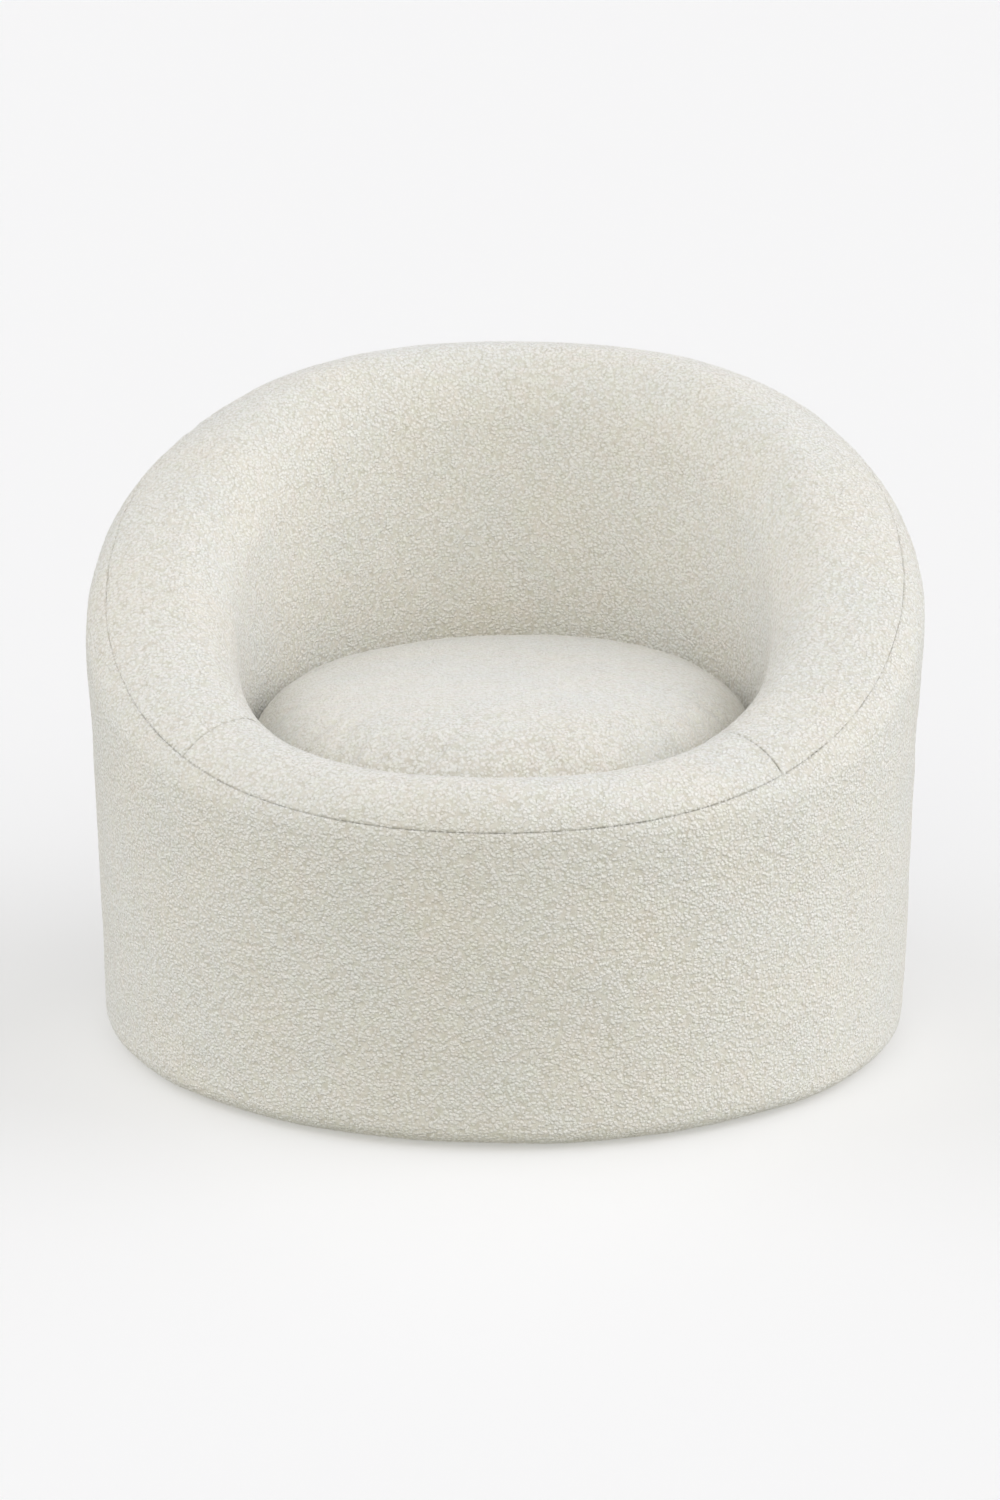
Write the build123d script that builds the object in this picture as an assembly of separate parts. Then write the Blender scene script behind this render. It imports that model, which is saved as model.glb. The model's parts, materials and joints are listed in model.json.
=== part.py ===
from build123d import *
import os
from math import asin, ceil, cos, floor, pi, radians, sin, sqrt

# Round upholstered barrel armchair on a hidden swivel base.
# Millimetres. Origin at floor level under the middle of the chair, +Z up, the sitter faces -Y.
# Angles go round the chair from its front (-Y, 0 degrees) towards +X (90) and the back (180).

# Overall shape of the tub
WIDTH = 950.0            # over the arms
DEPTH = 880.0            # front lip to back
RIM_SIDE = 569.0         # rim crest height over the arms
RIM_SWING = 194.5        # how far the rim falls to the front and climbs to the back
RIM_EASE = 17.5          # softens that swing towards front and back
LEAN = 6.0               # the wall is this much smaller in radius at the floor
LEAN_TOP = 325.0         # height above which the wall is upright
LIP_RISE = 15.7          # lifts the crest over the front lip
ROLL_WIDTH = 102.0       # rim crest to outer wall at the back, level
ROLL_HEIGHT = 62.0       # rim crest to the top of the straight wall at the back
LIP_WIDTH = 43.0         # the same two at the front, where the roll is tighter
LIP_HEIGHT = 60.0
LIP_POWER = 8            # how soon the front's roll gives way to that of the arms
SEAM_DROP_BACK = 24.0    # crest to seam
SEAM_DROP_FRONT = 46.7
SEAM_SLACK = 0.01        # half the gap at the rim seam, as an angle on the roll
INNER_ROLL = 60.0        # the rim's inner quarter round where there is room for it, level
INNER_FALL = 95.0        # and its height there
WELL_RADIUS = 294.0      # round seat well at the deck
WELL_Y = -14.0           # its centre
LIP_SPLIT = 48.0         # angle where front pieces meet arm pieces, and of the left cross seam
RIGHT_SEAM = 45.5        # angle of the right cross seam, sewn a little nearer the front
ARM_SPLIT = 125.0        # angle where arm pieces meet back pieces

# Layers, from the outside in
COVER = 3.0              # boucle cover
LAYER_GAP = 1.5          # air left between modelled layers
WADDING = 8.0
PANEL = 3.0              # hardboard
FOAM_TOP = 42.0          # rim foam over the top rail
FOAM_IN = 30.0           # rim foam on the inside
FRAME_IN = 17.0          # outer wall to frame
HEM = 32.0               # cover turned under the skirt
SKIRT_Z = 4.0            # cover's lowest edge
CORE_IN = 95.0           # outer wall to the rim foam's core, at its top
CORE_OUT = 42.0
PIECE_GAP = 0.15         # half the gap between neighbours round the chair, in degrees

# Frame heights
PLY = 18.0
BASE_TOP = 26.0          # top of the base disc
GLIDE = 4.0              # height of a floor glide
PLATE = 2.5
BOTTOM_PANEL_Z = 46.0
SKIRT_RAIL_Z = 10.0
SKIRT_RAIL = 22.0
DECK_FRAME_Z = 244.0
DECK_TOP = DECK_FRAME_Z + PLY
WELL_Z = DECK_TOP + 2.0  # bottom edge of inside foam and cover
OPENING = 420.0          # square opening under the springs
RIB_ANGLES = {
    "front": 0, "front_right": 48, "side_right": 100, "rear_right": 150,
    "rear_left": 210, "side_left": 260, "front_left": 312,
}
RIB_INNER = 255.0
RAIL_OUT = 46.0          # top rail's outer and inner edge, measured from the wall
RAIL_IN = 90.0
RAIL_DEEP = 24.0
RIB_SCREW = 2.0          # radius of the screws into the ribs
RIB_SCREW_LONG = 42.0
RIB_SCREW_HEAD = 4.5
RIB_SCREW_IN = 35.0      # from a rib's ends
SLOPE_ROOM = 6.0         # room for the rim's fall across an upper rib's thickness

# Swivel
BASE_RADIUS = 300.0
PLATE_SIDE = 300.0
RACE_RADIUS = 110.0
RACE_HALF = 12.0
BALL = 12.0
BALLS = 16
BALL_PLAY = 0.15
PIVOT_RADIUS = 12.0
PIVOT_PLAY = 0.05
RIVET_HEAD = 5.0         # how far the rivet's heads reach past its shank
CAGE_HALF = 13.0         # half the cage's width
CAGE_THICK = 5.0
BALL_Z = (BASE_TOP + BOTTOM_PANEL_Z) / 2
SCREW = 3.0              # radius of the plate screws
SCREW_LONG = 18.0
SCREW_HEAD = 6.0
SCREW_HEAD_HIGH = 3.0
SCREW_SPACING = 250.0
GLIDES = 8
GLIDE_CIRCLE = 270.0
GLIDE_RADIUS = 15.0
GLIDE_PIN = 2.5
GLIDE_PIN_LONG = 14.0

# Seat springs
SPRINGS = 5
SPRING_STEP = 80.0
SPRING_BARS = 21
SPRING_PITCH = 22.0
SPRING_BAR = 14.0        # half a bar
WIRE = 1.9               # wire radius
SPRING_Z = DECK_TOP + 4.0
CLIP_WIDE = 16.0
CLIP_DEEP = 7.0
CLIP_HIGH = 7.2
CLIP_FOOT = 14.0
CLIP_THICK = 1.5
PAD_Z = DECK_TOP + 8.0   # underside of the deck pad
PAD_THICK = 8.0
DECK_CLOTH = 1.5

# Cushion
CUSHION_RADIUS = 290.0
CUSHION_BOTTOM = 281.0
CUSHION_EDGE = 335.0     # height of the widest line
CUSHION_CROWN = 435.0
CROWN_POWER = 0.8        # 1 is an ellipse; less is fuller at the shoulders
CUSHION_CORNER = 32.0
BOXING_HALF = 6.0
ZIP_ARC = 120.0
ZIP_FIRST = 90 - ZIP_ARC / 2    # where the zip begins, counted from +X towards the back
ZIP_STOP = 5.0           # the slider's rest place, from the zip's end
ZIP_SET_IN = 2.0         # tape's face, in from the boxing's
FOAM_TOP_Z = 375.0

STEP_DEG = 12.0          # spacing of the sections that the tub is lofted through

os.makedirs("parts", exist_ok=True)


# ---------------------------------------------------------------- shape of the tub

def plan_radius(turn):
    """Outer wall's radius at an angle, an ellipse in plan."""
    return 1 / sqrt((sin(turn) / (WIDTH / 2)) ** 2 + (cos(turn) / (DEPTH / 2)) ** 2)


def wall_radius(turn, z):
    return plan_radius(turn) - LEAN * max(0.0, 1 - z / LEAN_TOP)


def blend(turn, front, back):
    """From the front's value to the back's."""
    return back + (front - back) * ((1 + cos(turn)) / 2) ** LIP_POWER


def crest(turn):
    swing = RIM_SIDE - RIM_SWING * cos(turn) + RIM_EASE * cos(3 * turn)
    return swing + blend(turn, LIP_RISE, 0)


def roll_width(turn):
    return blend(turn, LIP_WIDTH, ROLL_WIDTH)


def roll_height(turn):
    return blend(turn, LIP_HEIGHT, ROLL_HEIGHT)


def roll_base(turn):
    """Height where the straight wall ends and the rim's roll begins."""
    return crest(turn) - roll_height(turn)


def seam_angle(turn):
    """Where on the roll's quarter round the seam lies."""
    return asin(1 - blend(turn, SEAM_DROP_FRONT, SEAM_DROP_BACK) / roll_height(turn))


def well_radius(turn):
    """Seat well at the deck, seen from the chair's own centre."""
    return -WELL_Y * cos(turn) + sqrt(WELL_RADIUS ** 2 - (WELL_Y * sin(turn)) ** 2)


def outer_roll(turn, inset, t):
    """Point (radius, height) on the outer quarter of the rim, t from 0 at the wall to pi/2."""
    wide = roll_width(turn)
    r = wall_radius(turn, roll_base(turn)) - wide + (wide - inset) * cos(t)
    return r, roll_base(turn) + (roll_height(turn) - inset) * sin(t)


def inner_roll(turn):
    """Level reach and height of the rim's inner quarter round, and the whole slope's reach."""
    across = wall_radius(turn, roll_base(turn)) - roll_width(turn) - well_radius(turn)
    roll = min(INNER_ROLL, across)
    return roll, INNER_FALL * roll / INNER_ROLL, across


def inner_side(turn, inset, fall):
    """Point on the inner side at a share 0 to 1 of the fall from the crest to the deck."""
    roll, roll_fall, across = inner_roll(turn)
    top = well_radius(turn) + across
    high = crest(turn) - inset
    drop = fall * (high - WELL_Z)
    rolled = 1 - min(1.0, drop / (roll_fall - inset))
    return top - (roll - inset) * sqrt(1 - rolled ** 2) - (across - roll) * fall, high - drop


def roll_share(turn, inset, t):
    """Share of the fall at angle t round the inner quarter."""
    return (inner_roll(turn)[1] - inset) * (1 - cos(t)) / (crest(turn) - inset - WELL_Z)


def spread(first, last, count):
    return [first + (last - first) * k / (count - 1) for k in range(count)]


def rim_curve(turn, inset, t_start):
    """Outer skin from t_start on the roll, over the crest and down to the deck."""
    outside = [outer_roll(turn, inset, t) for t in spread(t_start, pi / 2, 8)]
    shares = [roll_share(turn, inset, t) for t in spread(0, pi / 2, 7)]
    shares += spread(shares[-1], 1, 5)[1:]
    return outside + [inner_side(turn, inset, share) for share in shares[1:]]


def place(turn, point):
    r, z = point
    return Vector(r * sin(turn), -r * cos(turn), z)


def section(turn, chains):
    """Closed face in the radial plane: each chain is a straight run of points or a smooth curve."""
    edges = []
    last = None
    first = place(turn, chains[0][1][0])
    for smooth, points in chains:
        spots = [place(turn, p) for p in points]
        if last is not None and (spots[0] - last).length > 1e-6:
            edges.append(Edge.make_line(last, spots[0]))
        if smooth:
            edges.append(Edge.make_spline(spots))
        else:
            edges += [Edge.make_line(a, b) for a, b in zip(spots, spots[1:])]
        last = spots[-1]
    edges.append(Edge.make_line(last, first))
    return Face(Wire(edges))


def sweep_round(profile, start, end):
    """Loft a radial profile round the chair between two angles in degrees."""
    first, last = ceil(start / STEP_DEG + 0.3), floor(end / STEP_DEG - 0.3)
    inner = [STEP_DEG * k for k in range(first, last + 1)]
    turns = [radians(a) for a in [start] + inner + [end]]
    return loft([section(turn, profile(turn)) for turn in turns])


# ---------------------------------------------------------------- profiles of the layers

def rim_cover_profile(turn):
    t = seam_angle(turn) + SEAM_SLACK
    return [(True, rim_curve(turn, 0, t)), (True, rim_curve(turn, COVER, t)[::-1])]


def rim_foam_profile(turn):
    skin = COVER + LAYER_GAP
    wall = wall_radius(turn, roll_base(turn))
    low = roll_base(turn)
    core = [
        (well_radius(turn) + FOAM_IN, WELL_Z),
        (wall - CORE_IN, crest(turn) - FOAM_TOP),
        (wall - CORE_OUT, crest(turn) - FOAM_TOP),
        (wall - skin - WADDING, low),
    ]
    return [(True, rim_curve(turn, skin, 0)), (False, core)]


def wall_profile(turn, inset_out, inset_in, low, high):
    return [(False, [
        (wall_radius(turn, low) - inset_out, low),
        (wall_radius(turn, LEAN_TOP) - inset_out, min(LEAN_TOP, high - 1)),
        (wall_radius(turn, high) - inset_out, high),
        (wall_radius(turn, high) - inset_in, high),
        (wall_radius(turn, LEAN_TOP) - inset_in, min(LEAN_TOP, high - 1)),
        (wall_radius(turn, low) - inset_in, low),
    ])]


def band_cover_profile(turn):
    """Outside band: turned under at the floor, up the wall and on to the seam."""
    def climb(inset, low):
        foot = [(wall_radius(turn, SKIRT_Z) - inset, low),
                (wall_radius(turn, LEAN_TOP) - inset, min(LEAN_TOP, roll_base(turn) - 1)),
                outer_roll(turn, inset, 0)]
        bend = [outer_roll(turn, inset, t) for t in spread(0, seam_angle(turn) - SEAM_SLACK, 4)]
        return foot, bend
    foot_out, bend_out = climb(0, SKIRT_Z)
    foot_in, bend_in = climb(COVER, SKIRT_Z + COVER)
    edge = wall_radius(turn, SKIRT_Z) - HEM
    hem = [(edge, SKIRT_Z + COVER), (edge, SKIRT_Z)]
    return [(False, foot_out), (True, bend_out), (True, bend_in[::-1]),
            (False, foot_in[::-1]), (False, hem)]


def wadding_profile(turn):
    skin = COVER + LAYER_GAP
    return wall_profile(turn, skin, skin + WADDING, SKIRT_RAIL_Z, roll_base(turn) - LAYER_GAP)


def outer_panel_profile(turn):
    out = COVER + WADDING + 2 * LAYER_GAP
    return wall_profile(turn, out, out + PANEL, SKIRT_RAIL_Z + 2, roll_base(turn) - 2 * LAYER_GAP)


def core_line(turn, z):
    """Radius of the inside foam's hidden face at a height."""
    low, high = WELL_Z, crest(turn) - FOAM_TOP
    bottom = well_radius(turn) + FOAM_IN
    top = wall_radius(turn, roll_base(turn)) - CORE_IN
    return bottom + (top - bottom) * (z - low) / (high - low)


def inner_panel_profile(turn):
    low, high = WELL_Z + 1, crest(turn) - FOAM_TOP - RAIL_DEEP - 4
    near, far = LAYER_GAP, LAYER_GAP + PANEL
    return [(False, [
        (core_line(turn, low) + near, low), (core_line(turn, low) + far, low),
        (core_line(turn, high) + far, high), (core_line(turn, high) + near, high),
    ])]


def top_rail_profile(turn):
    wall = wall_radius(turn, roll_base(turn))
    high = crest(turn) - FOAM_TOP - LAYER_GAP
    return [(False, [
        (wall - RAIL_OUT, high), (wall - RAIL_OUT, high - RAIL_DEEP),
        (wall - RAIL_IN, high - RAIL_DEEP), (wall - RAIL_IN, high),
    ])]


# ---------------------------------------------------------------- base and swivel

def disc(radius, low, high, y=0.0):
    return Pos(0, y, low) * extrude(Circle(radius), high - low)


def bar_z(radius, low, high, x, y):
    return Pos(x, y, low) * extrude(Circle(radius), high - low)


def corner_spots(spacing):
    half = spacing / 2
    return [(x, y) for x in (-half, half) for y in (-half, half)]


def glide_spots():
    return [(GLIDE_CIRCLE * cos(2 * pi * k / GLIDES), GLIDE_CIRCLE * sin(2 * pi * k / GLIDES))
            for k in range(GLIDES)]


def floor_glides():
    glides = []
    for x, y in glide_spots():
        foot = chamfer(bar_z(GLIDE_RADIUS, 0, GLIDE, x, y).edges().group_by(Axis.Z)[0], 1.0)
        glides.append(foot + bar_z(GLIDE_PIN, GLIDE, GLIDE + GLIDE_PIN_LONG, x, y))
    return glides


def base_disc():
    body = disc(BASE_RADIUS, GLIDE, BASE_TOP)
    body = chamfer(body.edges(), 2.0)
    body -= disc(PIVOT_RADIUS + RIVET_HEAD + 2, BASE_TOP - 4, BASE_TOP)
    for x, y in glide_spots():
        body -= bar_z(GLIDE_PIN + PIVOT_PLAY, GLIDE, GLIDE + GLIDE_PIN_LONG + 1, x, y)
    for x, y in corner_spots(SCREW_SPACING):
        body -= bar_z(SCREW + PIVOT_PLAY, BASE_TOP - SCREW_LONG + 1, BASE_TOP, x, y)
    return body


def swivel_plate(low, face_up):
    """Pressed plate with a raised race; the race faces the balls."""
    high = low + PLATE
    plate = Pos(0, 0, low) * extrude(RectangleRounded(PLATE_SIDE, PLATE_SIDE, 12), PLATE)
    span = (high, BALL_Z - 4) if face_up else (BALL_Z + 4, low)
    race = disc(RACE_RADIUS + RACE_HALF, *span) - disc(RACE_RADIUS - RACE_HALF, *span)
    plate = plate + race
    plate -= Pos(0, 0, BALL_Z) * Torus(RACE_RADIUS, BALL / 2 + BALL_PLAY)
    plate -= disc(PIVOT_RADIUS + PIVOT_PLAY, low - 1, high + 8)
    for x, y in corner_spots(SCREW_SPACING):
        plate -= bar_z(SCREW + 0.3, low - 1, high + 1, x, y)
    return plate


def plate_screws(shoulder, up):
    """Pan-head screws through a plate's corners; up is +1 or -1, the way the shank points."""
    screws = []
    for x, y in corner_spots(SCREW_SPACING):
        shank = Pos(x, y, shoulder + up * SCREW_LONG / 2) * Cylinder(SCREW, SCREW_LONG)
        head = Pos(x, y, shoulder - up * SCREW_HEAD_HIGH / 2) * Cylinder(SCREW_HEAD, SCREW_HEAD_HIGH)
        slot = Pos(x, y, shoulder - up * (SCREW_HEAD_HIGH - 0.4)) * (
            Box(SCREW_HEAD, 1.2, 1.6) + Box(1.2, SCREW_HEAD, 1.6))
        screws.append(shank + head - slot)
    return screws


def centre_rivet():
    low, high = BASE_TOP - 3, BOTTOM_PANEL_Z + 0.2
    shank = disc(PIVOT_RADIUS, low, high + 2)
    reach = PIVOT_RADIUS + RIVET_HEAD
    heads = disc(reach, low, BASE_TOP - 0.1) + disc(reach, high, high + 2)
    return shank + heads - disc(PIVOT_RADIUS - 3, low - 1, high + 3)


def ball_spots():
    return [(RACE_RADIUS * cos(2 * pi * k / BALLS), RACE_RADIUS * sin(2 * pi * k / BALLS))
            for k in range(BALLS)]


def bearing_balls():
    return [Pos(x, y, BALL_Z) * Sphere(BALL / 2) for x, y in ball_spots()]


def ball_cage():
    low, high = BALL_Z - CAGE_THICK / 2, BALL_Z + CAGE_THICK / 2
    cage = disc(RACE_RADIUS + CAGE_HALF, low, high) - disc(RACE_RADIUS - CAGE_HALF, low, high)
    for x, y in ball_spots():
        cage -= bar_z(BALL / 2 + BALL_PLAY, low - 1, high + 1, x, y)
    return cage


# ---------------------------------------------------------------- wooden frame

def plan_panel(inset, low, high):
    """Flat panel with the chair's plan, this far inside the wall."""
    return Pos(0, 0, low) * extrude(Ellipse(WIDTH / 2 - inset, DEPTH / 2 - inset), high - low)


def rib_screw_pair(turn):
    """The two screws into one rib."""
    reaches = (RIB_INNER + RIB_SCREW_IN, wall_radius(turn, 0) - FRAME_IN - RIB_SCREW_IN)
    return [(r * sin(turn), -r * cos(turn)) for r in reaches]


def rib_screw_spots():
    return [spot for angle in RIB_ANGLES.values() for spot in rib_screw_pair(radians(angle))]


def rib_screw_cone(x, y, play):
    return Pos(x, y, BOTTOM_PANEL_Z + 2) * Cone(RIB_SCREW_HEAD + play, RIB_SCREW + play, 4)


def frame_screws():
    """Countersunk screws up through the bottom panel into the ribs."""
    low, high = BOTTOM_PANEL_Z + 4, BOTTOM_PANEL_Z + RIB_SCREW_LONG
    return [rib_screw_cone(x, y, 0) + bar_z(RIB_SCREW, low, high, x, y)
            for x, y in rib_screw_spots()]


def bottom_panel():
    body = plan_panel(LEAN + FRAME_IN, BOTTOM_PANEL_Z, BOTTOM_PANEL_Z + PLY)
    body -= disc(PIVOT_RADIUS + 8, BOTTOM_PANEL_Z, BOTTOM_PANEL_Z + PLY)
    for x, y in corner_spots(SCREW_SPACING):
        body -= bar_z(SCREW + PIVOT_PLAY, BOTTOM_PANEL_Z, BOTTOM_PANEL_Z + PLY - 0.5, x, y)
    for x, y in rib_screw_spots():
        body -= bar_z(RIB_SCREW + PIVOT_PLAY, BOTTOM_PANEL_Z, BOTTOM_PANEL_Z + PLY, x, y)
        body -= rib_screw_cone(x, y, PIVOT_PLAY)
    return body


def skirt_rail():
    low, high = SKIRT_RAIL_Z, BOTTOM_PANEL_Z
    inset = LEAN + FRAME_IN
    return plan_panel(inset, low, high) - plan_panel(inset + SKIRT_RAIL, low, high)


def deck_frame():
    body = plan_panel(LEAN + FRAME_IN, DECK_FRAME_Z, DECK_TOP)
    opening = Pos(0, WELL_Y, DECK_FRAME_Z) * extrude(RectangleRounded(OPENING, OPENING, 60), PLY)
    return body - opening


def radial_board(turn, points):
    """A plywood board standing in the radial plane, centred on it."""
    face = section(turn, [(False, points)])
    across = Vector(cos(turn), sin(turn), 0)
    return (extrude(face.translate(across * (-PLY / 2)), PLY, dir=across))


def lower_rib(turn):
    low, high = BOTTOM_PANEL_Z + PLY, DECK_FRAME_Z
    outer = wall_radius(turn, 0) - FRAME_IN - 1
    rib = radial_board(turn, [(RIB_INNER, low), (outer, low), (outer, high), (RIB_INNER, high)])
    for x, y in rib_screw_pair(turn):
        rib -= bar_z(RIB_SCREW + PIVOT_PLAY, low, low + RIB_SCREW_LONG - PLY + 1, x, y)
    return rib


def upper_rib(turn, rail):
    low = DECK_TOP
    outer = wall_radius(turn, 0) - FRAME_IN - 1
    wall = wall_radius(turn, roll_base(turn))
    inside = LAYER_GAP * 2 + PANEL + 1
    shoulder = roll_base(turn) - SLOPE_ROOM
    top = crest(turn) - FOAM_TOP - SLOPE_ROOM - 2
    low_in = core_line(turn, WELL_Z) + inside
    top_in = core_line(turn, top) + inside
    rib = radial_board(turn, [
        (outer, low), (outer, shoulder), (wall - RAIL_OUT + 2, top), (top_in, top), (low_in, low),
    ])
    return rib - rail


# ---------------------------------------------------------------- seat deck

def spring(x):
    """Sinuous spring: bars joined by half rings, lying front to back."""
    y = WELL_Y - SPRING_PITCH * (SPRING_BARS - 1) / 2
    edges = []
    side = 1
    for k in range(SPRING_BARS):
        a = Vector(x - side * SPRING_BAR, y, SPRING_Z)
        b = Vector(x + side * SPRING_BAR, y, SPRING_Z)
        edges.append(Edge.make_line(a, b))
        if k < SPRING_BARS - 1:
            mid = Vector(b.X + side * SPRING_PITCH / 2, y + SPRING_PITCH / 2, SPRING_Z)
            edges.append(Edge.make_three_point_arc(b, mid, b + Vector(0, SPRING_PITCH, 0)))
        y += SPRING_PITCH
        side = -side
    path = Wire(edges)
    ring = Plane(origin=path @ 0, z_dir=path % 0) * Circle(WIRE)
    return sweep(ring, path=path)


def spring_rows():
    return [SPRING_STEP * (k - (SPRINGS - 1) / 2) for k in range(SPRINGS)]


def spring_clips():
    """One clip at each end of each spring, hooked over its first and last bar."""
    clips = []
    half = SPRING_PITCH * (SPRING_BARS - 1) / 2
    for x in spring_rows():
        for y in (WELL_Y - half, WELL_Y + half):
            away = -1 if y < WELL_Y else 1
            hook = Pos(x, y, DECK_TOP + CLIP_HIGH / 2) * Box(CLIP_WIDE, CLIP_DEEP, CLIP_HIGH)
            foot = Pos(x, y + away * 9, DECK_TOP + CLIP_THICK / 2) * Box(
                CLIP_WIDE, CLIP_FOOT, CLIP_THICK)
            bore = Pos(x, y, SPRING_Z) * Rot(0, 90, 0) * Cylinder(WIRE + 0.1, 30)
            clips.append(hook + foot - bore)
    return clips


# ---------------------------------------------------------------- cushion

def turned(chains, arc=360.0, first=0.0):
    """Turn a profile about the cushion's upright axis."""
    face = section(pi / 2, chains)
    body = revolve(face, Axis.Z, arc)
    return Pos(0, WELL_Y, 0) * Rot(0, 0, first) * body


def cushion_curve(inset, low, high, count=9):
    """Crown curve cut between two heights, fuller at the shoulders than an ellipse."""
    rx, rz = CUSHION_RADIUS - inset, CUSHION_CROWN - CUSHION_EDGE - inset
    t0, t1 = (asin(((z - CUSHION_EDGE) / rz) ** (1 / CROWN_POWER)) for z in (low, high))
    return [(rx * max(0.0, cos(t)) ** CROWN_POWER, CUSHION_EDGE + rz * sin(t) ** CROWN_POWER)
            for t in spread(t0, t1, count)]


def lower_curve(inset, high, count=5):
    """Lower corner curve from the underside up to a height below the widest line."""
    rx = CUSHION_CORNER - inset
    rz = CUSHION_EDGE - CUSHION_BOTTOM - inset
    middle = CUSHION_RADIUS - CUSHION_CORNER
    last = pi / 2 - asin((CUSHION_EDGE - high) / rz)
    return [(middle + rx * sin(t), CUSHION_EDGE - rz * cos(t)) for t in spread(0, last, count)]


def cushion_cover_top():
    low = CUSHION_EDGE + BOXING_HALF
    out = cushion_curve(0, low, CUSHION_CROWN)
    inn = cushion_curve(COVER, low, CUSHION_CROWN - COVER)
    return turned([(True, out), (True, inn[::-1])])


def cushion_cover_bottom():
    high = CUSHION_EDGE - BOXING_HALF
    out = lower_curve(0, high)
    inn = lower_curve(COVER, high)
    axis = [(0, CUSHION_BOTTOM + COVER), (0, CUSHION_BOTTOM)]
    return turned([(True, out), (True, inn[::-1]), (False, axis)])


def boxing_strip(arc, first, inset):
    half = BOXING_HALF - 0.4
    low, high = CUSHION_EDGE - half, CUSHION_EDGE + half
    r_out, r_in = CUSHION_RADIUS - inset, CUSHION_RADIUS - COVER
    face = [(False, [(r_in, low), (r_out, low), (r_out, high), (r_in, high)])]
    return turned(face, arc, first)


def cushion_foam():
    skin = COVER + LAYER_GAP
    corner = lower_curve(skin, CUSHION_EDGE)
    upper = cushion_curve(skin, CUSHION_EDGE, FOAM_TOP_Z)
    middle = [(0, FOAM_TOP_Z), (0, CUSHION_BOTTOM + skin)]
    return turned([(True, corner), (True, upper), (False, middle)])


def crown_pad():
    skin = COVER + LAYER_GAP
    top = cushion_curve(skin, FOAM_TOP_Z + LAYER_GAP, CUSHION_CROWN - skin)
    return turned([(True, top), (False, [(0, FOAM_TOP_Z + LAYER_GAP)])])


def zip_slider():
    """Slider body at the left end of the zip, rounded, straddling the teeth."""
    thick, wide, tall = 3.4, 9.0, 10.0
    r = CUSHION_RADIUS - 0.6 + thick / 2
    body = Pos(r, 0, CUSHION_EDGE) * Box(thick, wide, tall)
    body = fillet(body.edges().filter_by(Axis.X), 2.5)
    return Pos(0, WELL_Y, 0) * Rot(0, 0, ZIP_FIRST + ZIP_STOP) * body


def zip_teeth():
    """Two rows of coil standing proud of the tape's middle line."""
    low = CUSHION_EDGE - 1.6
    high = CUSHION_EDGE + 1.6
    r_in, r_out = CUSHION_RADIUS - 1.9, CUSHION_RADIUS - 0.9
    return turned([(False, [(r_in, low), (r_out, low), (r_out, high), (r_in, high)])],
                  ZIP_ARC - 2, ZIP_FIRST + 1)


# ---------------------------------------------------------------- write every piece

def write(name, shape):
    solids = shape if isinstance(shape, list) else [shape]
    bodies = [s for piece in solids for s in piece.solids()]
    export_step(Compound(children=bodies, label=name), f"parts/{name}.step")


def write_base():
    write("floor_glides", floor_glides())
    write("base_disc", base_disc())
    write("swivel_lower_plate", swivel_plate(BASE_TOP, True))
    write("swivel_upper_plate", swivel_plate(BOTTOM_PANEL_Z - PLATE, False))
    write("lower_plate_screws", plate_screws(BASE_TOP + PLATE, -1))
    write("upper_plate_screws", plate_screws(BOTTOM_PANEL_Z - PLATE, 1))
    write("centre_rivet", centre_rivet())
    write("bearing_balls", bearing_balls())
    write("ball_cage", ball_cage())


def write_frame():
    write("bottom_panel", bottom_panel())
    write("skirt_rail", skirt_rail())
    write("deck_frame", deck_frame())
    write("frame_screws", frame_screws())
    first, last = LIP_SPLIT - PIECE_GAP, 360 - LIP_SPLIT - PIECE_GAP
    rails = {
        "top_rail_front": sweep_round(top_rail_profile, -first, first),
        "top_rail_back": sweep_round(top_rail_profile, LIP_SPLIT + PIECE_GAP, last),
    }
    for name, rail in rails.items():
        write(name, rail)
    rail_pair = rails["top_rail_front"] + rails["top_rail_back"]
    for name, angle in RIB_ANGLES.items():
        turn = radians(angle)
        write(f"lower_rib_{name}", lower_rib(turn))
        write(f"upper_rib_{name}", upper_rib(turn, rail_pair))


def write_deck():
    write("seat_springs", [spring(x) for x in spring_rows()])
    write("spring_clips", spring_clips())
    cloth_z = PAD_Z + PAD_THICK + 0.5
    write("deck_pad", disc(WELL_RADIUS - 4, PAD_Z, PAD_Z + PAD_THICK, WELL_Y))
    write("deck_cloth", disc(WELL_RADIUS - 3, cloth_z, cloth_z + DECK_CLOTH, WELL_Y))
    dust = plan_panel(LEAN + FRAME_IN + SKIRT_RAIL + 1, BOTTOM_PANEL_Z - 1.2, BOTTOM_PANEL_Z - 0.2)
    write("dust_cover", dust - disc(PLATE_SIDE * 0.72, BOTTOM_PANEL_Z - 2, BOTTOM_PANEL_Z))


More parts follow.
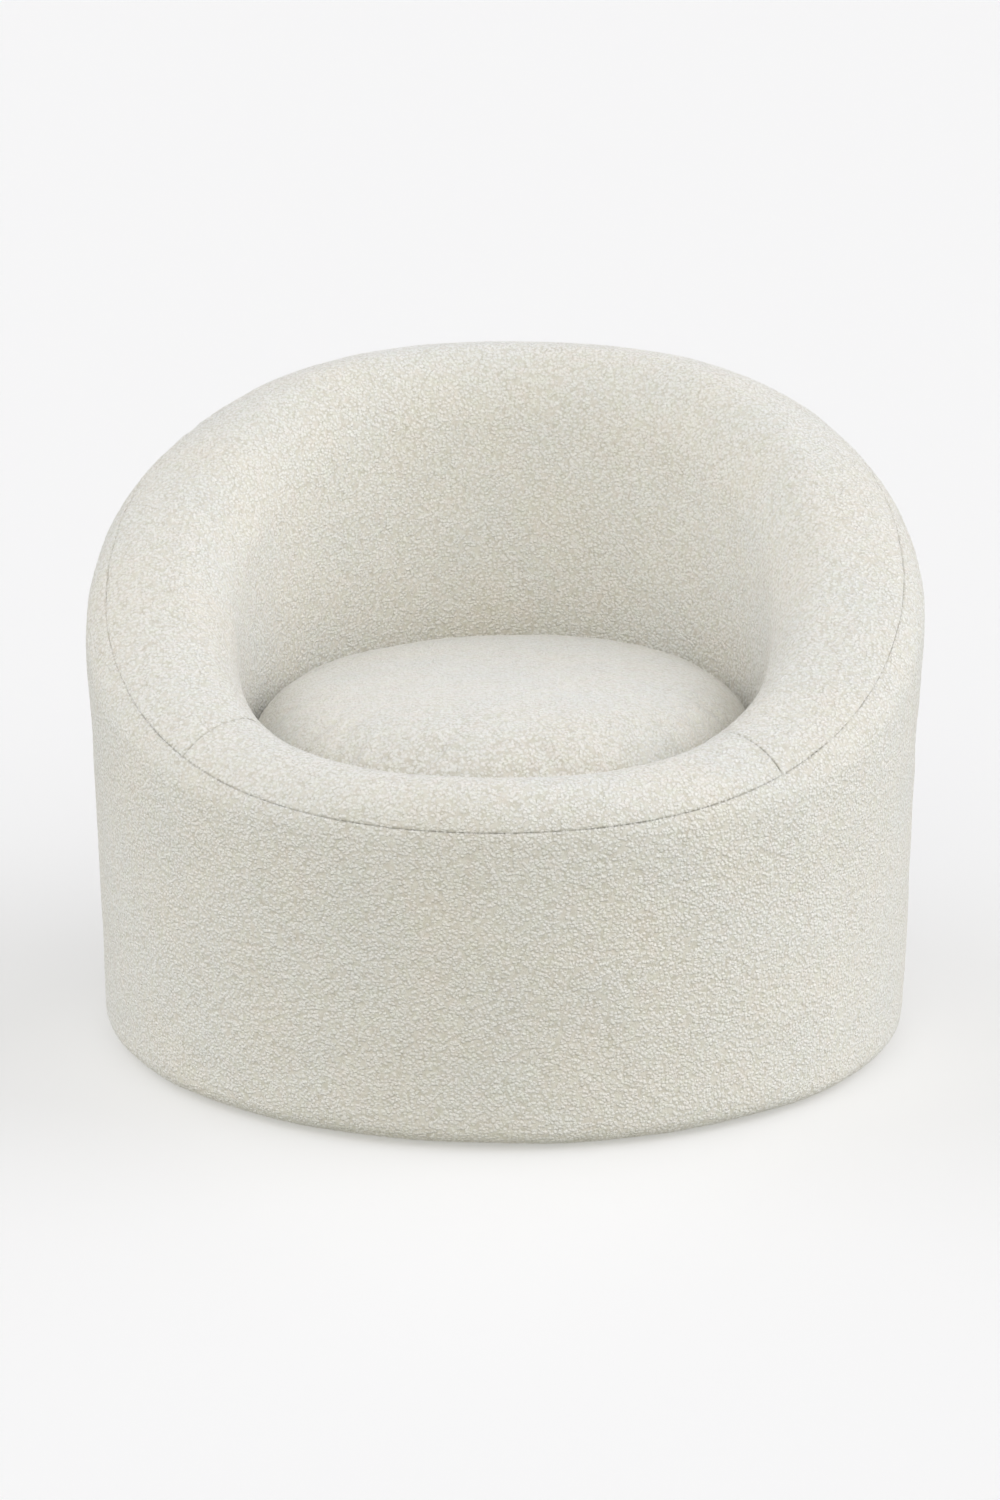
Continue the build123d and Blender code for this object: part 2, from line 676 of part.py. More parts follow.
def write_upholstery():
    gap = PIECE_GAP
    spans = {
        "front": (gap - LIP_SPLIT, LIP_SPLIT - gap),
        "right": (LIP_SPLIT + gap, ARM_SPLIT - gap),
        "back": (ARM_SPLIT + gap, 360 - ARM_SPLIT - gap),
        "left": (360 - ARM_SPLIT + gap, 360 - LIP_SPLIT - gap),
    }
    for side, (start, end) in spans.items():
        write(f"outer_panel_{side}", sweep_round(outer_panel_profile, start, end))
        if side != "front":
            write(f"inner_panel_{side}", sweep_round(inner_panel_profile, start, end))
    foams = {"front": "foam_front_lip", "right": "foam_arm_right",
             "back": "foam_back", "left": "foam_arm_left"}
    for side, name in foams.items():
        write(name, sweep_round(rim_foam_profile, *spans[side]))
    write("outer_wadding", sweep_round(wadding_profile, gap - 180, 180 - gap))
    write("cover_outside_band", sweep_round(band_cover_profile, gap - 180, 180 - gap))
    write("cover_front_lip", sweep_round(rim_cover_profile, gap - LIP_SPLIT, RIGHT_SEAM - gap))
    write("cover_arms_back", sweep_round(rim_cover_profile, RIGHT_SEAM + gap,
                                         360 - LIP_SPLIT - gap))


def write_cushion():
    write("cushion_foam", cushion_foam())
    write("cushion_crown_pad", crown_pad())
    write("cushion_cover_top", cushion_cover_top())
    write("cushion_cover_bottom", cushion_cover_bottom())
    write("cushion_boxing", boxing_strip(360 - ZIP_ARC - 1, ZIP_FIRST + ZIP_ARC + 0.5, 0))
    write("zip_tape", boxing_strip(ZIP_ARC, ZIP_FIRST, ZIP_SET_IN))
    write("zip_teeth", zip_teeth())
    write("zip_slider", zip_slider())


write_base()
write_frame()
write_deck()
write_upholstery()
write_cushion()
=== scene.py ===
import json
import math

import bmesh
import bpy
import numpy as np
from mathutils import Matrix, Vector


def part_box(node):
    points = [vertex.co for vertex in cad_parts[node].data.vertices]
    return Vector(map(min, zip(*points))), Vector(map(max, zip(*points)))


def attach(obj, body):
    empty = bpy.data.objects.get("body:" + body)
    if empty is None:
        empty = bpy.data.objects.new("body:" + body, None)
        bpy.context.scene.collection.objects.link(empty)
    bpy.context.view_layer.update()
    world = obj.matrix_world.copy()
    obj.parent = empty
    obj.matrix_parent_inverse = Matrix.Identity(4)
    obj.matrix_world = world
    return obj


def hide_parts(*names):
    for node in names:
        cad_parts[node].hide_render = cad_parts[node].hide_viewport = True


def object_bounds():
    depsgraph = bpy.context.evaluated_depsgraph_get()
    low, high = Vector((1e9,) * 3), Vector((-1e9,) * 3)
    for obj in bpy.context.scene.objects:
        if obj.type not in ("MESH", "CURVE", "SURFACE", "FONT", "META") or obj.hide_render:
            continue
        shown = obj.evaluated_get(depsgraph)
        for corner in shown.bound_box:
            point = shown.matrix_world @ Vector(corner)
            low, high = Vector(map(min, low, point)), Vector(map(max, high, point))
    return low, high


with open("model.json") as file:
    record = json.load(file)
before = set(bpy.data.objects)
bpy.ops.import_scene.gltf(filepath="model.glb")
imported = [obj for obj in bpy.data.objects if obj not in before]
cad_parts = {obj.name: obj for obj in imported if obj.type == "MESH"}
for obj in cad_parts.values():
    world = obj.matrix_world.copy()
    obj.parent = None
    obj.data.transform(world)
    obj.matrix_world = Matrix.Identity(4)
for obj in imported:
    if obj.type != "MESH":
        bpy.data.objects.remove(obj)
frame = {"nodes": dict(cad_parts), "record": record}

CAD_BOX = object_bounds()

# Round upholstered armchair in looped boucle. Metres, in the CAD model's own frame.
# Angles go round the chair from its front (-Y, 0) towards +X (90) and the back (180).

# ---------------------------------------------------------------- driving sizes, from the frame

WIDTH = CAD_BOX[1].x - CAD_BOX[0].x
DEPTH = CAD_BOX[1].y - CAD_BOX[0].y
SKIRT_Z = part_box("cover_outside_band")[0].z
WELL_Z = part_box("cover_front_lip")[0].z
CUSHION_LOW, CUSHION_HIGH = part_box("cushion_cover_bottom")[0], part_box("cushion_cover_top")[1]
CUSHION_Y = (CUSHION_LOW.y + CUSHION_HIGH.y) / 2
CUSHION_RADIUS = (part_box("cushion_cover_bottom")[1].x - CUSHION_LOW.x) / 2
ZIP_Z = (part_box("zip_tape")[0].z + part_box("zip_tape")[1].z) / 2

# Tub. The rim rises from the front lip over the arms to the back.
RIM_SIDE = 0.569         # the crest's height over the arms
RIM_SWING = 0.1945       # how much lower it is at the front and higher at the back
RIM_EASE = 0.0175        # a wave that flattens it along the lip and along the back's top
LIP_RISE = 0.0157        # lift of the lip's middle
LEAN = 0.006             # how far the wall comes in at the floor
LEAN_TOP = 0.325         # height below which it comes in
ROLL_WIDTH = 0.102       # the rim's outer quarter round, level and upright
ROLL_HEIGHT = 0.062
LIP_WIDTH = 0.043        # the same at the lip, where it is tighter
LIP_HEIGHT = 0.060
LIP_POWER = 8            # how quickly the lip's sizes give way to the arms' sizes
SEAM_DROP_BACK = 0.024   # the rim seam below the crest
SEAM_DROP_FRONT = 0.0467
INNER_ROLL = 0.060       # the rim's inner quarter round, level and upright
INNER_FALL = 0.095
WELL_GAP = 0.004         # between the well and the cushion in it
WELL_RADIUS = CUSHION_RADIUS + WELL_GAP
LEFT_SPLIT = math.radians(48)
RIGHT_SPLIT = math.radians(45.5)
HEM_ROLL = 0.024         # round at the skirt's lowest edge
HEM_TUCK = 0.032         # how far the cover runs in under the skirt
PLUMP = 0.005            # how far the padding swells the arms' outside
PLUMP_DROP = 0.08        # the swell is fullest this far below the crest
PLUMP_SPREAD = 0.07
PLUMP_START = 0.06       # it starts this far in from the tub's edge
PLUMP_GROWTH = 0.04      # and is whole this much further out
TUB_SWELLS = ((0.0014, 0.11), (0.0007, 0.04))      # height and size of slow unevenness

# Points along the profiles, before they are spaced evenly
HEM_POINTS = 9
WALL_POINTS = 60
ROLL_POINTS = 12
RIM_POINTS = 40

# Cushion
CROWN_POWER = 0.68       # under 1, so that the crown is fuller than an ellipse
CROWN_POINTS = 60
CUSHION_CORNER = 0.032   # level size of the round below the widest line
CORNER_POINTS = 10
CUSHION_COLUMNS = 180
VOXEL = 0.006
START_SHAPE = (0.98, 0.98, 0.95)     # shares of its size, before it is blown up
PRESSURE = 4
CLOTH_FRAMES = 20
PUFF_CAP = 0.010         # the furthest that a point may move
CROWN_SINK = 0.96        # the crown's height once the filling has settled
SLIDE = 0.035            # how much higher the filling lies to the sitter's left
BACK_FALL = 0.02         # and towards the front
CUSHION_SWELLS = ((0.0022, 0.12), (0.0010, 0.05))
ZIP_FIRST = 30           # degrees from +X
ZIP_HALF = 0.006         # half the height of the zip's channel
ZIP_DEEP = 0.0055
ZIP_BED = CUSHION_RADIUS - ZIP_DEEP

# Pile
MESH = 0.0027            # spacing of the fabric's mesh
NUB = 0.0060             # spacing of the lumps in the pile
NUB_HIGH = 0.0011        # how far a lump stands up
NUB_LEVEL = 0.45         # the lump height that lies level with the padding
LUMP_LENGTH = 1.2        # lumps are this much longer round the chair than upwards
SMALL_SIZE = 0.72        # small and large nubs, as shares of NUB
LARGE_SIZE = 1.25
WARP_SIZE = 1.7          # they are pushed about by waves of this size
WARP = 0.35
THICK_SIZE = 4           # and are thicker in patches of this size
SMALL_SHARE = 0.30
THICK_SHARE = 0.10
LARGE_SHARE = 0.52
NUB_REACH = 0.55         # radius of the smallest nub, as a share of the spacing
NUB_VARIES = 0.4         # and how much larger others are
CUSHION_NUB = 0.0005
CUSHION_NUB_LEVEL = 0.6
CUSHION_LUMPS = (0.85, 1, 1)
CUSHION_PAINTED_PALER = 0.5      # the cushion is painted paler, with less painted shade in its gaps
FRONT_SHADE_REACH = 0.24        # except at its front, in painted shade this far from the middle, where its lumps stand higher
FRONT_SHADE_LOWEST = -0.6        # the value there, which is 1 over the rest
SIDE_SHARE = 0.8         # of the cushion's radius, from where its side seam counts
TIGHT_SHARE = 0.94       # and from where the cloth is held tight
TIGHT_LIFT = 0.0008

# Seams
SEAM_ROLL = 0.0032       # how far from a seam the cloth starts to turn in
SEAM_DEEP = 0.0026
SEAM_ROWS = (0, 0.2, 0.45, 0.8)      # mesh rows beside a seam, as shares of SEAM_ROLL
SEAM_NEXT = 1.2          # where the even mesh goes on from
SEAM_FLAT = 0.3          # the pile stands this high at a seam
SEAM_PILE = 0.004        # and grows to its full height over about this
SEAM_SLACK = 0.65        # how deep the cloth turns in, on average
SLACK_SIZE = 0.012
SEAM_SHOWS = 0.0008      # how far the seam's painted shade shows on each side
TUB_SEAM_SHADE = 0.55        # how dark the painted shade in the seam is on average
SEAM_SHADE_CHANGES = ((0.40, 0.045), (0.25, 0.009))      # and how that changes along it
SEAM_FADES = (50, 66)    # degrees from the front between which the rim seam's painted shade fades
SEAM_FAINT = 0.12        # what is left of it behind
GATHER_SIZE = 0.014      # puckers beside a seam, and how far they reach from it
GATHER_REACH = 0.012
GATHER_STRETCH = (1, 0.25, 1)
CUSHION_SEAM_ROLL = 0.006
CUSHION_SEAM_DEEP = 0.003
# painted shade along the cushion's side seam: how far it shows and how dark it is
CUSHION_SEAM_SHOWS = 0.003
CUSHION_SIDE_SHADE = 0.8

# Yarn
LOOPS = 275              # loops in a metre
CURLS = 260              # waves in a metre that push the loops about
CURL = 0.0030
LOOP_STRETCH = (0.92, 0.92, 1.0)     # loops are a little wider than they are high
STRANDS = 850            # fibres in a metre
STRAND_ROUGH = 0.6
STRAND_SHARE = 0.35      # what the fibres add to a loop's height
LOOP_SHARE = 0.66        # what loops and lumps add to the depth that sets the colour, low depth painted in shade
LUMP_SHARE = 0.22
DYE = 11                 # waves in a metre of the slow change of colour
FLECKS = 70              # and of the difference between groups of loops
FLECK_SHARE = 0.8
BUMP = 0.9
BUMP_HIGH = 0.0015
RELIEF = 0.0002          # bump height of the plain finishes
WEAR = 0.08              # how far their roughness varies each way
LOOP_COLOUR = (0.97, 0.965, 0.945)
MIDDLE_COLOUR = (0.92, 0.91, 0.87)
# the gaps between the loops: the yarn's warmer tone, darkened with painted shade
GAP_SHADE_COLOUR = (0.65, 0.625, 0.55)
# the seam's crack, in dark painted shade
SEAM_SHADE_COLOUR = (0.22, 0.20, 0.16)

# Studio
SKY = (0.12, 0.12, 0.12)
BELOW = (0.37, 0.365, 0.31)
LIGHT_SPREAD = 70        # degrees
# Each light: degrees round from the front, degrees up, strength in red, green and blue
SOFT_LIGHTS = {
    "right": (80, 25, (1.22, 1.22, 1.27)),
    "right_back": (110, 25, (1.30, 1.30, 1.34)),
    "left": (-80, 25, (0.92, 0.92, 0.95)),
    "left_back": (-110, 25, (0.96, 0.96, 1.00)),
    "front": (0, 10, (0.44, 0.43, 0.40)),
    "front_high": (0, 40, (0.96, 0.94, 0.88)),
}
FLOOR_DIFFUSE = 0.68
FLOOR_GLOW = 0.280
FLOOR_HALF = 60

# Camera
CAMERA_TURN = 3.39       # degrees round from the front
CAMERA_UP = 15.9         # degrees
CAMERA_AWAY = 4.5        # in chair widths, as is the height that it looks at
LOOK_AT = 0.35
LOOK_LEFT = 0.0045       # small corrections of the aim
LOOK_DOWN = 0.0059
LENS = 88.3
SENSOR = 36


# ---------------------------------------------------------------- noise for cloth

def scatter(cells, salt):
    """A repeatable random number from 0 to 1 for each whole-number cell."""
    h = np.full(cells.shape[:-1], salt * 0x9E3779B1 & 0xFFFFFFFF, np.uint32)
    for k, factor in enumerate((0x8DA6B343, 0xD8163841, 0xCB1AB31F)):
        h ^= cells[..., k].astype(np.int64).astype(np.uint32) * np.uint32(factor)
        h ^= h >> np.uint32(15)
        h *= np.uint32(0x85EBCA6B)
    h ^= h >> np.uint32(13)
    h *= np.uint32(0xC2B2AE35)
    h ^= h >> np.uint32(16)
    return h / 4294967296.0


def drift(points, size, salt):
    """Smooth noise from -1 to 1 with bumps of about this size."""
    p = points / size
    base = np.floor(p)
    f = p - base
    f = f * f * (3 - 2 * f)
    total = np.zeros(len(points))
    for corner in np.ndindex(2, 2, 2):
        weight = np.prod([f[:, k] if c else 1 - f[:, k] for k, c in enumerate(corner)], axis=0)
        total += weight * scatter(base + corner, salt)
    return total * 2 - 1


def swells(points, sizes, salt):
    """Sum of smooth noises, each given by its height and the size of its bumps."""
    return sum(high * drift(points, size, salt + n) for n, (high, size) in enumerate(sizes))


def loops(points, size, salt, flat=False):
    """Height 0 to 1 of a layer of round nubs scattered at about this spacing.

    A flat layer has one sheet of nubs and takes no account of the third coordinate."""
    p = points / size
    base = np.floor(p)
    high = np.zeros(len(points))
    depth = (0,) if flat else (-1, 0, 1)
    for i in (-1, 0, 1):
        for j in (-1, 0, 1):
            for k in depth:
                cell = base + (i, j, k)
                spot = np.stack([scatter(cell, salt + n) for n in range(3)], axis=-1)
                if flat:
                    spot[:, 2] = 0.5
                reach = NUB_REACH + NUB_VARIES * scatter(cell, salt + 3)
                away = ((p - cell - spot) ** 2).sum(axis=1)
                if flat:
                    away = away - (p[:, 2] - cell[:, 2] - 0.5) ** 2
                high = np.maximum(high, 1 - away / reach ** 2)
    return high


def boucle(cloth, flat=False):
    """Height of the pile, 0 to about 1, at cloth coordinates: small nubs on larger lumps."""
    warp = np.stack([drift(cloth, NUB * WARP_SIZE, 11 + n) for n in range(3)], axis=-1)
    if flat:
        warp[:, 2] = 0
    bent = cloth + warp * NUB * WARP
    small = loops(bent, NUB * SMALL_SIZE, 31, flat)
    large = loops(bent, NUB * LARGE_SIZE, 41, flat)
    thick = 0.5 + 0.5 * drift(cloth, NUB * THICK_SIZE, 51)
    return LARGE_SHARE * large + (SMALL_SHARE + THICK_SHARE * thick) * small


# ---------------------------------------------------------------- shape of the tub

def plan_radius(turn):
    return 1 / np.sqrt((np.sin(turn) / (WIDTH / 2)) ** 2 + (np.cos(turn) / (DEPTH / 2)) ** 2)


def blend(turn, front, back):
    """The front's value at the lip, easing to the back's over arms and back."""
    return back + (front - back) * ((1 + np.cos(turn)) / 2) ** LIP_POWER


def crest(turn):
    swing = RIM_SIDE - RIM_SWING * np.cos(turn) + RIM_EASE * np.cos(3 * turn)
    return swing + blend(turn, LIP_RISE, 0)


def roll_width(turn):
    return blend(turn, LIP_WIDTH, ROLL_WIDTH)


def roll_height(turn):
    return blend(turn, LIP_HEIGHT, ROLL_HEIGHT)


def roll_base(turn):
    return crest(turn) - roll_height(turn)


def wall_radius(turn, z):
    return plan_radius(turn) - LEAN * np.maximum(0, 1 - z / LEAN_TOP)


def seam_angle(turn):
    return np.arcsin(1 - blend(turn, SEAM_DROP_FRONT, SEAM_DROP_BACK) / roll_height(turn))


def well_radius(turn):
    return -CUSHION_Y * np.cos(turn) + np.sqrt(WELL_RADIUS ** 2 - (CUSHION_Y * np.sin(turn)) ** 2)


def outer_roll(turn, t):
    """Point of the rim's outer round at angle t, from 0 at the wall to a right angle on top."""
    wall = wall_radius(turn, roll_base(turn))
    r = wall - roll_width(turn) * (1 - np.cos(t))
    return r, roll_base(turn) + roll_height(turn) * np.sin(t)


def inner_roll(turn):
    """Level reach and height of the rim's inner quarter round, and the whole slope's reach."""
    across = wall_radius(turn, roll_base(turn)) - roll_width(turn) - well_radius(turn)
    roll = np.minimum(INNER_ROLL, across)
    return roll, INNER_FALL * roll / INNER_ROLL, across


def inner_side(turn, drop):
    """Inner face at this drop below the crest."""
    roll, fall, across = inner_roll(turn)
    rolled = 1 - np.minimum(1, drop / fall)
    lean = (across - roll) * drop / (crest(turn) - WELL_Z)
    return well_radius(turn) + across - roll * np.sqrt(1 - rolled ** 2) - lean, crest(turn) - drop


def plump(turn, z):
    """How far the padding pushes the outside out at this height, most over the arms."""
    away = (crest(turn) - z - PLUMP_DROP) / PLUMP_SPREAD
    return PLUMP * np.sin(turn) ** 4 * np.exp(-away ** 2)


def stations(length, first_sewn, last_sewn):
    """Places from 0 to 1 along a length, a mesh apart, closer together beside a sewn end."""
    close = np.array(SEAM_ROWS) * SEAM_ROLL
    start = close if first_sewn else np.array([0.0])
    end = length - close[::-1] if last_sewn else np.array([length])
    low = SEAM_ROLL * SEAM_NEXT if first_sewn else MESH
    high = length - (SEAM_ROLL * SEAM_NEXT if last_sewn else MESH)
    even = np.linspace(low, high, int((high - low) / MESH))
    return np.concatenate([start, even, end]) / length


def even_rows(r, z, want):
    """Move a profile's points to these shares of its length. One profile per column."""
    step = np.hypot(np.diff(r, axis=0), np.diff(z, axis=0))
    along = np.vstack([np.zeros(r.shape[1]), np.cumsum(step, axis=0)])
    new_r, new_z = np.empty((len(want), r.shape[1])), np.empty((len(want), r.shape[1]))
    for k in range(r.shape[1]):
        share = along[:, k] / along[-1, k]
        new_r[:, k] = np.interp(want, share, r[:, k])
        new_z[:, k] = np.interp(want, share, z[:, k])
    return new_r, new_z, along[-1]


def stacked(rows, turn):
    """The rows' radii and heights as two arrays, one column for each turn."""
    return np.array([r + 0 * turn for r, z in rows]), np.array([z + 0 * turn for r, z in rows])


def band_profile(turn):
    """From the hem under the skirt, round the lowest edge and up the wall to the seam."""
    foot = wall_radius(turn, SKIRT_Z)
    rows = [(foot - HEM_TUCK, SKIRT_Z + 0 * turn), (foot - HEM_ROLL, SKIRT_Z + 0 * turn)]
    for t in np.linspace(0, math.pi / 2, HEM_POINTS)[1:]:
        rows.append((foot - HEM_ROLL * (1 - math.sin(t)), SKIRT_Z + HEM_ROLL * (1 - math.cos(t))))
    low = SKIRT_Z + HEM_ROLL
    for share in np.linspace(0, 1, WALL_POINTS)[1:]:
        z = low + (roll_base(turn) - low) * share
        rows.append((wall_radius(turn, z), z))
    for share in np.linspace(0, 1, ROLL_POINTS)[1:]:
        rows.append(outer_roll(turn, seam_angle(turn) * share))
    return stacked(rows, turn)


def rim_profile(turn):
    """From the seam over the crest and down the inside to the deck."""
    rows = []
    start = seam_angle(turn)
    for share in np.linspace(0, 1, RIM_POINTS):
        rows.append(outer_roll(turn, start + (math.pi / 2 - start) * share))
    fall = inner_roll(turn)[1]
    for t in np.linspace(0, math.pi / 2, RIM_POINTS)[1:]:
        rows.append(inner_side(turn, fall * (1 - math.cos(t))))
    last = crest(turn) - WELL_Z
    for share in np.linspace(0, 1, RIM_POINTS)[1:]:
        rows.append(inner_side(turn, fall + (last - fall) * share))
    return stacked(rows, turn)


# ---------------------------------------------------------------- mesh helpers

def make_object(name, points, faces):
    mesh = bpy.data.meshes.new(name)
    mesh.vertices.add(len(points))
    mesh.vertices.foreach_set("co", np.ascontiguousarray(points, np.float32).ravel())
    mesh.loops.add(faces.size)
    mesh.loops.foreach_set("vertex_index", np.ascontiguousarray(faces, np.int32).ravel())
    mesh.polygons.add(len(faces))
    mesh.polygons.foreach_set("loop_start", np.arange(0, faces.size, faces.shape[1], dtype=np.int32))
    mesh.update(calc_edges=True)
    mesh.validate()
    mesh.polygons.foreach_set("use_smooth", np.ones(len(mesh.polygons), bool))
    obj = bpy.data.objects.new(name, mesh)
    bpy.context.scene.collection.objects.link(obj)
    return obj


def grid_faces(rows, columns, closed):
    """Quads of a grid of rows by columns, wrapped round in columns where closed."""
    c = np.arange(columns if closed else columns - 1)
    r = np.arange(rows - 1)
    c, r = np.meshgrid(c, r)
    right = (c + 1) % columns
    quads = [r * columns + c, r * columns + right, (r + 1) * columns + right, (r + 1) * columns + c]
    return np.stack(quads, axis=-1).reshape(-1, 4)


def grid_normals(points):
    """Outward normals of a grid of points, shape rows x columns x 3."""
    across = np.gradient(points, axis=1)
    up = np.gradient(points, axis=0)
    n = np.cross(across, up)
    return n / np.maximum(np.linalg.norm(n, axis=-1, keepdims=True), 1e-9)


def set_value(obj, name, values):
    layer = obj.data.attributes.new(name, "FLOAT", "POINT")
    layer.data.foreach_set("value", np.ascontiguousarray(values, np.float32).ravel())


def turned_in(distance, roll=SEAM_ROLL, deep=SEAM_DEEP):
    """How far a cloth edge has turned in at this distance from its seam."""
    share = np.clip(1 - distance / roll, 0, 1)
    return deep * (1 - np.sqrt(1 - share ** 2))


def seam_shade_strength(turn):
    """How strong the painted shade in a seam is: full over the front, fading to a faint line behind.
    """
    away = np.degrees(np.abs((turn + math.pi) % (2 * math.pi) - math.pi))
    return np.interp(away, SEAM_FADES, (1.0, SEAM_FAINT))


def cloth_grid(name, profile, start, end, seam_first, seam_last, pucker):
    """A piece of cover round part of the tub, its two ends sewn.

    seam_first and seam_last say whether the profile's ends are sewn too, and pucker is how
    much the cloth gathers beside its seams."""
    around = (WIDTH + DEPTH) / 4
    turns = start + (end - start) * stations((end - start) * around, True, True)
    r, z = profile(turns)
    longest = np.hypot(np.diff(r, axis=0), np.diff(z, axis=0)).sum(axis=0).max()
    share = stations(longest, seam_first, seam_last)
    r, z, length = even_rows(r, z, share)
    rows, columns = r.shape
    outside = np.clip((r - plan_radius(turns) + PLUMP_START) / PLUMP_GROWTH, 0, 1)
    r = r + plump(turns, z) * outside
    flat = np.stack([r * np.sin(turns), -r * np.cos(turns), z], axis=-1)
    normal = grid_normals(flat)

    along = share[:, None] * length[None, :]
    round_way = (turns[None, :] - start) * around + 0 * along
    cloth = np.stack([round_way / LUMP_LENGTH, along, 0 * along], axis=-1).reshape(-1, 3)
    nub = boucle(cloth, flat=True).reshape(rows, columns)

    metres = (turns[None, :] - start) * r
    edge = np.minimum(metres, (end - start) * r - metres)
    if seam_first:
        edge = np.minimum(edge, along)
    if seam_last:
        edge = np.minimum(edge, length[None, :] - along)
    space = flat.reshape(-1, 3)
    swell = swells(space, TUB_SWELLS, 61).reshape(rows, columns)
    gather = pucker * drift(cloth * GATHER_STRETCH, GATHER_SIZE, 63).reshape(rows, columns)
    gather *= np.exp(-edge / GATHER_REACH)
    slack = SEAM_SLACK + (1 - SEAM_SLACK) * drift(space, SLACK_SIZE, 64).reshape(rows, columns)
    # Painted shade along the seams, darker over the front.
    tight = TUB_SEAM_SHADE + swells(space, SEAM_SHADE_CHANGES, 65)
    tight = np.clip(tight, 0, 1).reshape(rows, columns) * seam_shade_strength(turns)
    lift = NUB_HIGH * (nub - NUB_LEVEL) * np.minimum(1, SEAM_FLAT + edge / SEAM_PILE)
    lift += swell + gather - turned_in(edge) * slack
    points = flat + normal * lift[..., None]
    obj = make_object(name, points.reshape(-1, 3), grid_faces(rows, columns, False))
    # The pile's height, which the shader turns into painted shade in the gaps.
    set_value(obj, "nub", nub)
    # Painted shade along the sewn edges.
    set_value(obj, "seam", np.exp(-edge / SEAM_SHOWS) * tight)
    return obj


# ---------------------------------------------------------------- materials

def new_material(name, rough):
    mat = bpy.data.materials.new(name)
    mat.use_nodes = True
    shader = mat.node_tree.nodes["Principled BSDF"]
    shader.inputs["Roughness"].default_value = rough
    return mat, mat.node_tree.nodes, mat.node_tree.links, shader


def ramp(nodes, stops):
    node = nodes.new("ShaderNodeValToRGB")
    points = node.color_ramp.elements
    while len(points) < len(stops):
        points.new(0.5)
    for point, (where, colour) in zip(points, stops):
        point.position = where
        point.color = (*colour, 1)
    return node


def noise(nodes, links, where, scale, detail=2.0, rough=0.5):
    node = nodes.new("ShaderNodeTexNoise")
    node.inputs["Scale"].default_value = scale
    node.inputs["Detail"].default_value = detail
    node.inputs["Roughness"].default_value = rough
    links.new(where, node.inputs["Vector"])
    return node


def cells(nodes, links, where, scale):
    node = nodes.new("ShaderNodeTexVoronoi")
    node.inputs["Scale"].default_value = scale
    links.new(where, node.inputs["Vector"])
    return node


def mix_colour(nodes, links, kind, factor, a, b):
    node = nodes.new("ShaderNodeMix")
    node.data_type = "RGBA"
    node.blend_type = kind
    for socket, value in zip((node.inputs[0], node.inputs[6], node.inputs[7]), (factor, a, b)):
        if isinstance(value, bpy.types.NodeSocket):
            links.new(value, socket)
        elif isinstance(value, tuple):
            socket.default_value = (*value, 1)
        else:
            socket.default_value = value
    return node.outputs[2]


def math_node(nodes, links, kind, a, b):
    node = nodes.new("ShaderNodeMath")
    node.operation = kind
    for socket, value in zip(node.inputs, (a, b)):
        if isinstance(value, bpy.types.NodeSocket):
            links.new(value, socket)
        else:
            socket.default_value = value
    return node.outputs[0]


